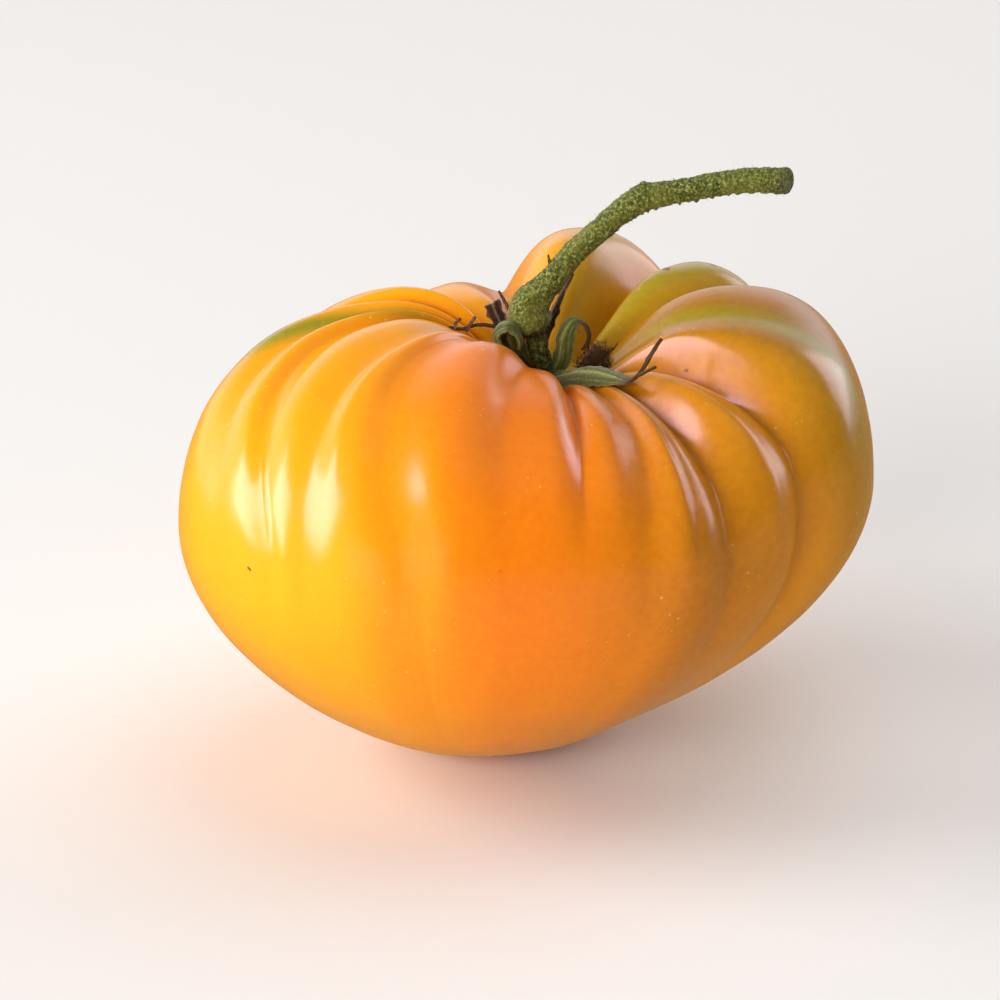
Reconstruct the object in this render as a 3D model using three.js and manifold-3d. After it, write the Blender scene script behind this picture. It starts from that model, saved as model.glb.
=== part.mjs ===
// Ribbed yellow-orange heirloom tomato with its bent green stem and its calyx.
// Millimetres, Z up. The fruit rests on a small flat spot at z = 0 and the
// origin is near the middle of its width and depth.

import * as THREE from 'three';
import Module from 'manifold-3d';
import { mergeVertices } from 'three/addons/utils/BufferGeometryUtils.js';

// Fruit: heights and radii
const CAVITY_FLOOR = 64.0;        // bottom of the hollow round the stem
const WIDEST_HEIGHT = 48.9;       // level where the fruit is widest
const WIDEST_TILT = 3.7;          // the right side is widest higher up by this
const FOOT_RADIUS = 9.0;          // flat spot that it rests on
const STEM_AXIS = [4.2, 8.0];     // the hollow is off centre
const FOOT_CENTRE = [-5.0, 0.0];
const FLANK_FULLNESS = 0.475;     // how upright the lower flank leaves the widest level
const BASE_FULLNESS = 0.26;       // how far the base bulges outside the flat spot
const BASE_FULLNESS_TILT = 0.065; // it bulges less on the right

// Creases between the lobes, counter-clockwise from +X: direction at the
// hollow, direction at the widest level (degrees), depth at the shoulder,
// depth at the widest level (mm), sharpness, blunting of its bottom and
// the place along the meridian where it ends
const CREASES = [
  [22, 31, 7.5, 2.2, 2.3, 0.07, 0.82],
  [55, 55, 9.0, 2.6, 2.6, 0.07, 0.82],
  [108, 90, 9.0, 2.2, 2.6, 0.07, 0.82],
  [150, 123, 5.0, 1.4, 2.2, 0.10, 0.78],
  [163, 182, 4.0, 1.0, 2.2, 0.20, 0.72],
  [170, 211, 1.3, 0.6, 2.0, 0.40, 0.66],
  [174, 226, 2.0, 0.7, 2.0, 0.45, 0.66],
  [207, 232.5, 1.4, 0.8, 2.0, 0.40, 0.66],
  [216, 250, 0.9, 0.7, 2.0, 0.45, 0.70],
  [256, 267, 0.8, 0.2, 2.0, 0.40, 0.66],
  [279.5, 280.5, 2.6, 0.4, 3.2, 0.07, 0.60],
  [297, 292.5, 1.6, 0.9, 2.0, 0.30, 0.68],
  [305.5, 309, 3.6, 2.4, 2.0, 0.20, 0.72],
  [325, 328, 6.8, 3.6, 2.3, 0.10, 0.78],
  [345, 356, 0.4, 0.4, 2.0, 0.30, 0.72],
];
const CREASE_FADE = 0.24;         // part of a meridian over which a crease runs out

// Lobe that follows each crease: height of its crest, distance of the crest
// from the stem, reach at the widest level (mm), fullness of its shoulder
const LOBES = [
  [79.0, 33.1, 56.0, 0.72],
  [83.4, 29.3, 56.0, 0.77],
  [73.3, 22.2, 57.0, 0.60],
  [81.6, 26.6, 58.4, 0.44],
  [79.0, 31.1, 64.8, 0.72],
  [78.4, 30.4, 63.4, 0.62],
  [79.3, 29.0, 63.1, 0.56],
  [80.0, 26.0, 62.5, 0.57],
  [79.0, 23.0, 58.0, 0.62],
  [74.0, 25.0, 55.5, 0.64],
  [71.5, 27.0, 55.5, 0.64],
  [71.0, 28.0, 57.9, 0.64],
  [73.0, 31.0, 56.4, 0.64],
  [80.1, 36.7, 63.2, 0.70],
  [82.3, 32.7, 61.9, 0.65],
];
const LOBE_BLEND = 0.62;          // share of a lobe's width over which its values blend

// Places along a meridian, from the stem (0) to the middle of the foot (1)
const AT_CREST = 0.25;
const AT_WIDEST = 0.55;
const AT_FOOT = 0.95;
const HOLLOW_ROWS = 15;
const SHOULDER_ROWS = 18;
const FLANK_ROWS = 19;
const FOOT_ROWS = 2;
const DEGREES_PER_COLUMN = 6.5;

// Stem: centre line, radius and how the knob and the cut end swell
const STEM_LINE = [
  [2.6, 8.0, 68.1, 2.1],
  [2.5, 8.0, 69.8, 1.8],
  [2.2, 8.0, 71.8, 1.7],
  [1.9, 8.0, 73.6, 1.7],
  [1.6, 8.0, 74.7, 2.4],
  [1.2, 8.0, 75.6, 3.7],
  [0.8, 8.0, 77.2, 3.9],
  [0.9, 8.0, 79.4, 3.6],
  [2.4, 8.0, 81.6, 2.9],
  [5.2, 8.0, 84.8, 2.3],
  [8.9, 8.1, 89.5, 2.1],
  [14.3, 8.3, 94.5, 2.1],
  [17.8, 8.4, 97.5, 2.3],
  [20.4, 8.4, 99.2, 2.5],
  [23.2, 8.3, 100.1, 2.3],
  [27.0, 8.1, 100.8, 2.1],
  [33.6, 7.7, 102.3, 2.1],
  [40.2, 7.2, 103.2, 2.2],
  [44.6, 6.9, 103.2, 2.3],
  [46.2, 6.8, 103.2, 2.4],
];
const STEM_STEPS = 44;
const STEM_SIDES = 14;

// Calyx: a ring under the stem, with the sepals grown out of it
const RING_CENTRE = [2.7, 8.0];
const RING_PROFILE = [
  [0, 64.8], [2.4, 65.3], [3.9, 66.1], [4.4, 66.7], [4.0, 67.3], [2.6, 67.6], [0, 67.7],
];
const RING_SIDES = 20;
const BLADE_SIDES = 8;

// Each sepal: points along its middle [x, y, z, half width, half thickness]
// and the direction in which it is wide
const SEPALS = [
  // rolled sepal at the left
  {
    steps: 14,
    wide: [0.9, -0.35, 0.2],
    line: [
      [1.2, 6.0, 66.7, 1.0, 0.45],
      [-1.2, 4.8, 68.8, 2.0, 0.45],
      [-2.8, 3.8, 71.6, 3.0, 0.45],
      [-3.5, 3.4, 74.6, 2.8, 0.42],
      [-4.1, 3.9, 76.7, 1.8, 0.40],
      [-4.7, 5.2, 76.3, 0.9, 0.35],
    ],
  },
  // curled sepal at the right, with a thin dried tip
  {
    steps: 18,
    wide: [0.7, -0.6, -0.3],
    line: [
      [5.1, 6.5, 66.7, 1.0, 0.45],
      [6.5, 6.7, 70.0, 1.4, 0.50],
      [6.9, 7.1, 73.8, 1.5, 0.45],
      [8.5, 7.4, 76.5, 1.1, 0.42],
      [10.5, 7.6, 76.2, 0.7, 0.38],
      [11.5, 7.8, 74.2, 0.5, 0.35],
      [11.2, 8.0, 72.0, 0.4, 0.32],
      [10.5, 8.0, 70.8, 0.35, 0.30],
    ],
  },
  // flat sepal that lies over the front lip, its tip turned up
  {
    steps: 24,
    wide: [0.56, 0.6, 0.57],
    line: [
      [4.2, 5.2, 66.7, 1.2, 0.45],
      [6.2, 0.8, 68.4, 2.0, 0.45],
      [8.8, -3.8, 70.5, 2.1, 0.45],
      [11.4, -7.6, 72.0, 2.1, 0.45],
      [14.0, -11.6, 73.6, 1.7, 0.42],
      [16.4, -15.6, 74.8, 1.0, 0.40],
      [18.8, -17.4, 75.4, 0.6, 0.36],
      [20.6, -16.6, 76.4, 0.45, 0.34],
      [22.0, -14.2, 77.9, 0.4, 0.32],
      [23.3, -12.0, 79.5, 0.35, 0.30],
    ],
  },
  // fork of the flat sepal
  {
    steps: 6,
    wide: [0, 1, 0],
    line: [
      [19.2, -17.4, 75.6, 0.45, 0.35],
      [21.0, -18.4, 76.0, 0.4, 0.32],
      [22.6, -18.4, 77.0, 0.35, 0.30],
    ],
  },
  // withered sepal that stands behind the stem
  {
    steps: 12,
    wide: [0.6, -0.8, 0],
    line: [
      [4.0, 10.9, 66.9, 0.9, 0.40],
      [4.4, 12.6, 70.4, 1.0, 0.40],
      [5.4, 13.4, 74.4, 1.3, 0.38],
      [6.9, 13.6, 78.2, 1.1, 0.35],
      [8.6, 13.4, 82.0, 0.5, 0.32],
      [9.3, 13.2, 84.2, 0.35, 0.30],
    ],
  },
  // blunt withered stub behind the left sepal
  {
    steps: 10,
    wide: [1, 0.2, 0.3],
    line: [
      [1.2, 10.8, 66.9, 0.9, 0.40],
      [-2.0, 12.6, 70.4, 1.0, 0.40],
      [-4.4, 13.6, 74.0, 1.2, 0.40],
      [-6.0, 13.6, 77.8, 1.4, 0.40],
    ],
  },
  // thin withered tendril at the left
  {
    steps: 12,
    wide: [0, 0.5, 1],
    line: [
      [0.8, 8.6, 66.9, 0.6, 0.40],
      [-2.2, 9.4, 71.0, 0.5, 0.38],
      [-5.0, 8.6, 74.8, 0.45, 0.35],
      [-8.4, 6.6, 76.2, 0.4, 0.35],
      [-11.6, 4.8, 76.0, 0.4, 0.35],
      [-13.6, 3.4, 77.0, 0.35, 0.30],
    ],
  },
];

const MERGE_TOLERANCE = 1e-4;
const SKIN_COLOUR = 0xf2a01e;
const CALYX_COLOUR = 0x4c5f2b;
const STEM_COLOUR = 0x6d8038;

const wasm = await Module();
wasm.setup();

const rad = THREE.MathUtils.degToRad;
const clamp = THREE.MathUtils.clamp;
const lerp = THREE.MathUtils.lerp;

// Cubic Bezier value
function bezier(a, b, c, d, t) {
  const u = 1 - t;
  return u * u * u * a + 3 * u * u * t * b + 3 * u * t * t * c + t * t * t * d;
}

// Smooth 0..1 ramp between two values
function ramp(x, from, to) {
  const t = clamp((x - from) / (to - from), 0, 1);
  return t * t * (3 - 2 * t);
}

// Direction of crease j, counted on past a full turn
function creaseAngle(j, level) {
  const turns = Math.floor(j / CREASES.length);
  return CREASES[j - turns * CREASES.length][level] + 360 * turns;
}

// Value of the lobes round a direction, each weighted by how near it is
function blendLobes(angle, level, value) {
  let sum = 0;
  let total = 0;
  for (let j = 0; j < LOBES.length; j += 1) {
    const from = creaseAngle(j, level);
    const to = creaseAngle(j + 1, level);
    const away = ((angle - (from + to) / 2 + 540) % 360 + 360) % 360 - 180;
    const weight = Math.exp(-((away / (LOBE_BLEND * (to - from))) ** 2)) + 1e-9;
    sum += weight * LOBES[j][value];
    total += weight;
  }
  return sum / total;
}

// Smooth meridian of one column: distance from the axis and height at place s
function meridian(column, s) {
  const { crest, crestOut, full, reach, widest, base } = column;
  if (s <= AT_CREST) {
    const t = s / AT_CREST;
    return [
      bezier(0, crestOut * 0.38, crestOut * 0.45, crestOut, t),
      bezier(CAVITY_FLOOR, CAVITY_FLOOR, crest, crest, t),
    ];
  }
  if (s <= AT_WIDEST) {
    const t = (s - AT_CREST) / (AT_WIDEST - AT_CREST);
    return [
      bezier(crestOut, lerp(crestOut, reach, full), reach, reach, t),
      bezier(crest, crest, lerp(widest, crest, full), widest, t),
    ];
  }
  if (s <= AT_FOOT) {
    const t = (s - AT_WIDEST) / (AT_FOOT - AT_WIDEST);
    return [
      bezier(reach, reach, lerp(FOOT_RADIUS, reach, base), FOOT_RADIUS, t),
      bezier(widest, widest * (1 - FLANK_FULLNESS), 0, 0, t),
    ];
  }
  return [FOOT_RADIUS * (1 - s) / (1 - AT_FOOT), 0];
}

// Depth of a crease at place s
function creaseDepth(crease, s) {
  const [, , shoulder, widest, , , end] = crease;
  const opening = ramp(s, 0.03, 0.16);
  const down = ramp(s, 0.25, 0.50);
  const fade = 1 - ramp(s, end - CREASE_FADE, end);
  return (opening * shoulder * (1 - down) + widest * down) * fade;
}

// How much of its depth a crease keeps at this distance (0..1) across a lobe
function creaseShare(crease, distance) {
  const [, , , , sharpness, blunting] = crease;
  const x = Math.min(Math.hypot(distance, blunting), 1);
  return ((1 - x) / (1 - blunting)) ** sharpness;
}

// Values of the column at share u (0..1) across lobe j
function columnAt(j, u) {
  const top = lerp(creaseAngle(j, 0), creaseAngle(j + 1, 0), u);
  const side = lerp(creaseAngle(j, 1), creaseAngle(j + 1, 1), u);
  const lean = Math.cos(rad(side));
  const left = CREASES[j];
  const right = CREASES[(j + 1) % CREASES.length];
  return {
    top,
    side,
    left,
    right,
    leftShare: creaseShare(left, 2 * u),
    rightShare: creaseShare(right, 2 * (1 - u)),
    crest: blendLobes(top, 0, 0),
    crestOut: blendLobes(top, 0, 1),
    reach: blendLobes(side, 1, 2),
    full: blendLobes(top, 0, 3),
    widest: WIDEST_HEIGHT + WIDEST_TILT * lean,
    base: BASE_FULLNESS - BASE_FULLNESS_TILT * lean,
  };
}

// Point of the skin on a column at place s
function skinPoint(column, s) {
  const step = 1e-3;
  const [out, up] = meridian(column, s);
  const before = meridian(column, Math.max(s - step, 0));
  const after = meridian(column, Math.min(s + step, 1));
  const run = after[0] - before[0];
  const rise = after[1] - before[1];
  const length = Math.hypot(run, rise) + 1e-9;
  const depth = creaseDepth(column.left, s) * column.leftShare
    + creaseDepth(column.right, s) * column.rightShare;
  const radius = out + depth * rise / length;
  const height = up - depth * run / length;
  const shoulder = ramp(s, 0.15, AT_WIDEST);
  const foot = ramp(s, AT_WIDEST, AT_FOOT);
  const angle = rad(lerp(column.top, column.side, shoulder));
  const centreX = STEM_AXIS[0] * (1 - shoulder) + FOOT_CENTRE[0] * foot;
  const centreY = STEM_AXIS[1] * (1 - shoulder) + FOOT_CENTRE[1] * foot;
  return [
    centreX + radius * Math.cos(angle),
    centreY + radius * Math.sin(angle),
    Math.max(height, 0),
  ];
}

// Columns of the skin, closer together beside the creases
function skinColumns() {
  const columns = [];
  for (let j = 0; j < CREASES.length; j += 1) {
    const width = creaseAngle(j + 1, 1) - creaseAngle(j, 1);
    const count = 2 * Math.max(2, Math.round(width / DEGREES_PER_COLUMN / 2));
    for (let k = 0; k < count; k += 1) {
      columns.push(columnAt(j, (1 - Math.cos(Math.PI * k / count)) / 2));
    }
  }
  return columns;
}

// Places of the rows between the stem and the middle of the foot
function skinRows() {
  const parts = [
    [0, AT_CREST, HOLLOW_ROWS],
    [AT_CREST, AT_WIDEST, SHOULDER_ROWS],
    [AT_WIDEST, AT_FOOT, FLANK_ROWS],
    [AT_FOOT, 1, FOOT_ROWS],
  ];
  const rows = [];
  for (const [from, to, count] of parts) {
    for (let k = 1; k <= count; k += 1) {
      rows.push(lerp(from, to, k / count));
    }
  }
  rows.pop();
  return rows;
}

// Closed mesh from rings of points with one point at each end
function closedRings(first, rings, last) {
  const sides = rings[0].length;
  const points = [first, ...rings.flat(), last];
  const end = points.length - 1;
  const faces = [];
  for (let k = 0; k < sides; k += 1) {
    const next = (k + 1) % sides;
    faces.push([0, 1 + k, 1 + next]);
    for (let r = 0; r < rings.length - 1; r += 1) {
      const a = 1 + r * sides;
      const b = a + sides;
      faces.push([a + k, b + k, b + next], [a + k, b + next, a + next]);
    }
    const bottom = 1 + (rings.length - 1) * sides;
    faces.push([end, bottom + next, bottom + k]);
  }
  const geometry = new THREE.BufferGeometry();
  geometry.setAttribute('position', new THREE.Float32BufferAttribute(points.flat(), 3));
  geometry.setIndex(faces.flat());
  return geometry;
}

// Whole fruit: the hollow, the lobes and the foot in one closed skin
function fruitShape() {
  const columns = skinColumns();
  const rings = skinRows().map((s) => columns.map((column) => skinPoint(column, s)));
  const first = [STEM_AXIS[0], STEM_AXIS[1], CAVITY_FLOOR];
  const last = [FOOT_CENTRE[0], FOOT_CENTRE[1], 0];
  return closedRings(first, rings, last);
}

// Point on a smooth curve through a list of rows, every value carried along
function curveRow(line, t) {
  const place = t * (line.length - 1);
  const i = Math.min(Math.floor(place), line.length - 2);
  const u = place - i;
  const at = (k) => line[clamp(k, 0, line.length - 1)];
  return line[i].map((_, n) => {
    const [p0, p1, p2, p3] = [at(i - 1)[n], at(i)[n], at(i + 1)[n], at(i + 2)[n]];
    return 0.5 * (2 * p1 + (p2 - p0) * u + (2 * p0 - 5 * p1 + 4 * p2 - p3) * u * u
      + (3 * p1 - p0 - 3 * p2 + p3) * u * u * u);
  });
}

// Closed body swept along a line with an oval section
function sweep(line, steps, sides, wide, sizes) {
  const rows = Array.from({ length: steps + 1 }, (_, k) => curveRow(line, k / steps));
  const middle = rows.map((row) => new THREE.Vector3(row[0], row[1], row[2]));
  const rings = middle.map((point, k) => {
    const ahead = middle[Math.min(k + 1, steps)];
    const along = ahead.clone().sub(middle[Math.max(k - 1, 0)]).normalize();
    const across = wide.clone().addScaledVector(along, -wide.dot(along)).normalize();
    const face = new THREE.Vector3().crossVectors(along, across);
    const [halfWidth, halfThick] = sizes(rows[k]);
    return Array.from({ length: sides }, (_, n) => {
      const turn = 2 * Math.PI * n / sides;
      return point.clone()
        .addScaledVector(across, halfWidth * Math.cos(turn))
        .addScaledVector(face, halfThick * Math.sin(turn))
        .toArray();
    });
  });
  return closedRings(middle[0].toArray(), rings.map((ring) => ring.reverse()), middle[steps].toArray());
}

// Stem from the calyx over the knob and the kink to the cut end
function stemShape() {
  const round = (row) => [row[3], row[3]];
  return sweep(STEM_LINE, STEM_STEPS, STEM_SIDES, new THREE.Vector3(0, 1, 0), round);
}

// One sepal
function sepalShape(sepal) {
  const wide = new THREE.Vector3(...sepal.wide);
  return sweep(sepal.line, sepal.steps, BLADE_SIDES, wide, (row) => [row[3], row[4]]);
}

// Ring that the sepals grow from
function ringShape() {
  const ends = [RING_PROFILE[0], RING_PROFILE[RING_PROFILE.length - 1]];
  const place = (radius, height, turn) => [
    RING_CENTRE[0] + radius * Math.cos(turn),
    RING_CENTRE[1] + radius * Math.sin(turn),
    height,
  ];
  const rings = RING_PROFILE.slice(1, -1).map(([radius, height]) => (
    Array.from({ length: RING_SIDES }, (_, n) => (
      place(radius, height, -2 * Math.PI * n / RING_SIDES)
    ))
  ));
  return closedRings(place(0, ends[0][1], 0), rings, place(0, ends[1][1], 0));
}

// Solid of a closed geometry
function solid(geometry) {
  const bare = mergeVertices(geometry, MERGE_TOLERANCE);
  const mesh = new wasm.Mesh({
    numProp: 3,
    vertProperties: new Float32Array(bare.attributes.position.array),
    triVerts: new Uint32Array(bare.index.array),
  });
  return new wasm.Manifold(mesh);
}

// Geometry of a solid
function shapeOf(body) {
  const mesh = body.getMesh();
  const geometry = new THREE.BufferGeometry();
  geometry.setAttribute('position', new THREE.Float32BufferAttribute(mesh.vertProperties, 3));
  geometry.setIndex(Array.from(mesh.triVerts));
  return geometry;
}

// Ring and sepals as one body
function calyxShape() {
  let body = solid(ringShape());
  for (const sepal of SEPALS) {
    body = body.add(solid(sepalShape(sepal)));
  }
  return shapeOf(body);
}

// Named piece of the part
function piece(name, geometry, color, roughness) {
  geometry.computeVertexNormals();
  const material = new THREE.MeshStandardMaterial({ color, roughness, metalness: 0 });
  const mesh = new THREE.Mesh(geometry, material);
  mesh.name = name;
  return mesh;
}

const tomato = new THREE.Group();
tomato.name = 'tomato';
tomato.add(piece('fruit', fruitShape(), SKIN_COLOUR, 0.28));
tomato.add(piece('calyx', calyxShape(), CALYX_COLOUR, 0.75));
tomato.add(piece('stem', stemShape(), STEM_COLOUR, 0.8));

export default tomato;
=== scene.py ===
"""Ribbed yellow-orange heirloom tomato with its bent green stem and its calyx.

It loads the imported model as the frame, lays the finished fruit, stem and calyx
over its solids, and sets up a plain studio. Lengths below are in millimetres
and become metres as they reach Blender.
"""

import math

import bpy
import numpy as np
from bpy.props import FloatProperty, FloatVectorProperty, IntProperty, PointerProperty
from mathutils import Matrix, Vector


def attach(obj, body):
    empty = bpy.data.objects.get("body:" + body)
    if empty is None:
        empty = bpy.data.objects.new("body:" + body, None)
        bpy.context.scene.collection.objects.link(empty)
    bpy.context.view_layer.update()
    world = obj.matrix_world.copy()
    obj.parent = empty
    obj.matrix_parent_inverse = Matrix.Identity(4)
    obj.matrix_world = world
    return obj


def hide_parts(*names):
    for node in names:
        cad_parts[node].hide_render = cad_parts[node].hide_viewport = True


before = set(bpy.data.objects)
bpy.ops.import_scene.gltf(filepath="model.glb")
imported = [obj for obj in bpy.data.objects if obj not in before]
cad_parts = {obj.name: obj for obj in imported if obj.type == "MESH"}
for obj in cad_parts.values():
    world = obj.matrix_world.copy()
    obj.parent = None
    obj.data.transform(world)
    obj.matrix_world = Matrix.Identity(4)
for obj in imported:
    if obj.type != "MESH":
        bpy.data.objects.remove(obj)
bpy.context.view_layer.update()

bl_info = {
    "name": "Heirloom tomato",
    "version": (1, 0, 0),
    "blender": (4, 5, 0),
    "location": "View3D > Sidebar > Tomato",
    "description": "Builds a ribbed tomato with its stem and calyx round a packed frame",
    "category": "Add Mesh",
}

MM = 0.001
WEIGHT_STEPS = 24          # steps in which the dents fade out towards the foot
BATCH = 4000               # points compared with the stem's rows at a time

# Fruit: heights, radii and centres
CAVITY_FLOOR = 64.0        # bottom of the hollow round the stem
WIDEST_HEIGHT = 48.9       # level where the fruit is widest
WIDEST_TILT = 3.7          # the right side is widest higher up by this
FOOT_RADIUS = 9.0          # flat spot that it rests on
STEM_AXIS = (4.2, 8.0)     # the hollow is off centre
FOOT_CENTRE = (-5.0, 0.0)
FLANK_FULLNESS = 0.475     # how upright the lower flank leaves the widest level
BASE_FULLNESS = 0.26       # how far the base bulges outside the flat spot
BASE_FULLNESS_TILT = 0.065  # it bulges less on the right
LOBE_BLEND = 0.62          # share of a lobe's width over which its values blend

# Creases between the lobes, counter-clockwise from +X: direction at the
# hollow, direction at the widest level (degrees), depth at the shoulder,
# depth at the widest level, sharpness, blunting of its bottom, s where it ends
CREASES = np.array([
    (22, 31, 7.5, 2.2, 2.3, 0.07, 0.82),
    (55, 55, 9.0, 2.6, 2.6, 0.07, 0.82),
    (108, 90, 9.0, 2.2, 2.6, 0.07, 0.82),
    (150, 123, 5.0, 1.4, 2.2, 0.10, 0.78),
    (163, 182, 4.0, 1.0, 2.2, 0.20, 0.72),
    (170, 211, 1.3, 0.6, 2.0, 0.40, 0.66),
    (174, 226, 2.0, 0.7, 2.0, 0.45, 0.66),
    (207, 232.5, 1.4, 0.8, 2.0, 0.40, 0.66),
    (216, 250, 0.9, 0.7, 2.0, 0.45, 0.70),
    (256, 267, 0.8, 0.2, 2.0, 0.40, 0.66),
    (279.5, 280.5, 2.6, 0.4, 3.2, 0.07, 0.60),
    (297, 292.5, 1.6, 0.9, 2.0, 0.30, 0.68),
    (305.5, 309, 3.6, 2.4, 2.0, 0.20, 0.72),
    (325, 328, 6.8, 3.6, 2.3, 0.10, 0.78),
    (345, 356, 0.4, 0.4, 2.0, 0.30, 0.72),
])

# Lobe that follows each crease: height of its crest, distance of the crest
# from the stem, reach at the widest level, fullness of its shoulder
LOBES = np.array([
    (79.0, 33.1, 56.0, 0.72),
    (83.4, 29.3, 56.0, 0.77),
    (73.3, 22.2, 57.0, 0.60),
    (81.6, 26.6, 58.4, 0.44),
    (79.0, 31.1, 64.8, 0.72),
    (78.4, 30.4, 63.4, 0.62),
    (79.3, 29.0, 63.1, 0.56),
    (80.0, 26.0, 62.5, 0.57),
    (79.0, 23.0, 58.0, 0.62),
    (74.0, 25.0, 55.5, 0.64),
    (71.5, 27.0, 55.5, 0.64),
    (71.0, 28.0, 57.9, 0.64),
    (73.0, 31.0, 56.4, 0.64),
    (80.1, 36.7, 63.2, 0.70),
    (82.3, 32.7, 61.9, 0.65),
])

# Places along a meridian, from the stem (0) to the middle of the foot (1)
AT_CREST = 0.25
AT_WIDEST = 0.55
AT_FOOT = 0.95
# Share of the rows that lies above each of those places
ROW_SHARES = (0.0, 0.27, 0.58, 0.96, 1.0)
CREASE_FADE = 0.24         # part of a meridian over which a crease runs out
CREASE_GATHER = 0.75       # how strongly the columns draw together beside a crease

# Narrow raised ribs on the front: place of the crest as lobe number and share
# at its upper and lower end, from s, to s, height, half width on its left and
# on its right (degrees)
FINE_RIBS = [
    (11.28, 11.38, 0.25, 0.52, 1.20, 4.5, 1.4),
    (10.42, 10.50, 0.24, 0.44, 0.55, 3.5, 1.4),
    (12.46, 12.55, 0.28, 0.54, 0.80, 5.0, 2.0),
    (8.52, 8.34, 0.36, 0.60, 1.15, 3.6, 5.5),
    (7.30, 7.35, 0.28, 0.46, 0.20, 2.4, 2.4),
    (9.70, 9.65, 0.24, 0.46, 0.22, 2.2, 2.2),
]

# Green left in the skin: lobe number and share at the upper and lower end,
# from s, to s, half width (degrees), strength
GREEN_BANDS = [
    (0.55, 0.50, 0.06, 0.50, 16.0, 0.80),
    (14.15, 13.55, 0.12, 0.52, 6.0, 0.75),
    (14.75, 14.60, 0.14, 0.50, 5.0, 0.45),
    (13.55, 13.75, 0.34, 0.74, 12.0, 0.35),
    (1.25, 1.20, 0.02, 0.34, 12.0, 0.55),
    (5.75, 4.30, 0.20, 0.40, 7.0, 1.00),
    (3.30, 3.30, 0.12, 0.36, 5.0, 0.20),
]

# Small marks on the skin: lobe number and share, s, radius, strength
SKIN_SCARS = [
    (13.12, 0.218, 0.5, 0.8),
    (14.56, 0.189, 0.5, 1.0),
    (0.60, 0.239, 1.2, 0.7),
    (0.46, 0.305, 0.6, 0.9),
    (1.19, 0.110, 0.6, 0.6),
    (8.93, 0.513, 0.4, 0.8),
    (8.29, 0.538, 0.4, 0.9),
    (5.71, 0.535, 0.4, 0.9),
    (5.86, 0.562, 0.4, 0.9),
    (2.40, 0.330, 0.8, 0.8),
    (3.60, 0.520, 0.6, 0.7),
]

# Middle of the corky, fibrous patch beside the curled sepal
CORK_PATCH = (12.8, 10.0, 67.5)
CORK_PATCH_STRETCH = (1.4, 2.3, 1.0)
CORK_PATCH_REACH = 3.4

# Directions (degrees) that the colours of the skin, and the painted shade on the front-right, are
# centred on
ORANGE_SIDE = 290
OCHRE_SIDE = 20
OLIVE_SIDE = 350
SHADED_SIDE = 307
FLUSHED_SIDE = 260

# Stem: centre line and radius, from the calyx over the knob to the cut end
STEM_LINE = np.array([
    (2.6, 8.0, 68.1, 2.1),
    (2.5, 8.0, 69.8, 1.8),
    (2.2, 8.0, 71.8, 1.7),
    (1.9, 8.0, 73.6, 1.7),
    (1.6, 8.0, 74.7, 2.4),
    (1.2, 8.0, 75.6, 3.7),
    (0.8, 8.0, 77.2, 3.9),
    (0.9, 8.0, 79.4, 3.6),
    (2.4, 8.0, 81.6, 2.9),
    (5.2, 8.0, 84.8, 2.3),
    (8.9, 8.1, 89.5, 2.1),
    (14.3, 8.3, 94.5, 2.1),
    (17.8, 8.4, 97.5, 2.3),
    (20.4, 8.4, 99.2, 2.5),
    (23.2, 8.3, 100.1, 2.3),
    (27.0, 8.1, 100.8, 2.1),
    (33.6, 7.7, 102.3, 2.1),
    (40.2, 7.2, 103.2, 2.2),
    (44.6, 6.9, 103.2, 2.3),
    (46.2, 6.8, 103.2, 2.4),
])

# Height of the neck's upper end, the nub on the kink, and the slant of the cut
NECK_TOP = 74.2
STEM_NUB = (21.0, 8.3, 101.6)
CUT_SLANT = (0.55, -0.12)

# Ring that the sepals grow from: centre and profile (radius, height)
RING_CENTRE = (2.7, 8.0)
RING_PROFILE = [(2.4, 65.3), (3.9, 66.1), (4.4, 66.7), (4.0, 67.3), (2.6, 67.6)]

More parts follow.
